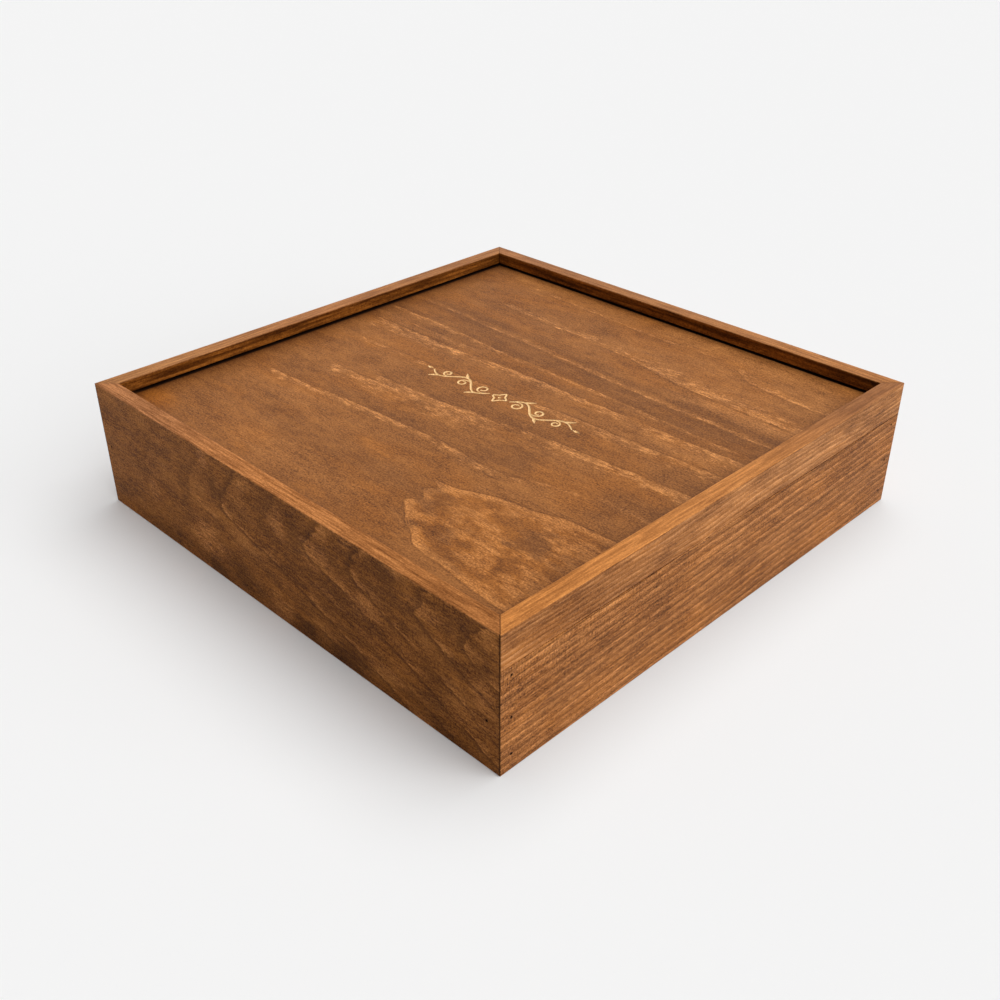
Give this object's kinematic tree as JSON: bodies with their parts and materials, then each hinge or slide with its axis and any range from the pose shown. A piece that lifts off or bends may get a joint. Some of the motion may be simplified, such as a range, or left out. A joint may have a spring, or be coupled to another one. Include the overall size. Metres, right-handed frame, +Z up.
{
  "type": "sliding lid box",
  "caption": "Shallow square stained-wood box with mitred, pinned corners and a lid panel that slides out to the front with its rail.",
  "frame": {"origin": "on the surface that the box stands on, under the middle of the box", "axes": "+Z up; -Y out of the front, the way that the lid slides out; +X to the right of someone who faces the front"},
  "size_m": [0.335, 0.335, 0.08],
  "materials": {
    "stained_board": "brown stain with a thin satin wax, open softwood grain",
    "stained_panel": "brown stain with a thin satin wax, flat-sawn figure",
    "stained_rail": "brown stain with a thin satin wax, fine straight grain",
    "plain_panel": "brown stain, matt",
    "brad_steel": "dull drawn wire"
  },
  "bodies": {
    "case": {"front_wall": "stained_board", "back_wall": "stained_board", "left_wall": "stained_board", "right_wall": "stained_board", "bottom_panel": "plain_panel", "front_left_brad_low": "brad_steel", "front_left_brad_middle": "brad_steel", "front_left_brad_high": "brad_steel", "front_left_brad_side": "brad_steel", "front_right_brad_low": "brad_steel", "front_right_brad_middle": "brad_steel", "front_right_brad_high": "brad_steel", "front_right_brad_side": "brad_steel", "back_left_brad_low": "brad_steel", "back_left_brad_middle": "brad_steel", "back_left_brad_high": "brad_steel", "back_left_brad_side": "brad_steel", "back_right_brad_low": "brad_steel", "back_right_brad_middle": "brad_steel", "back_right_brad_high": "brad_steel", "back_right_brad_side": "brad_steel"},
    "lid": {"lid_panel": "stained_panel", "lid_rail": "stained_rail"}
  },
  "joints": [
    {"name": "lid_slide", "type": "slide", "parent": "case", "child": "lid", "axis": [0, -1, 0], "range_m": [0, 0.33]}
  ]
}
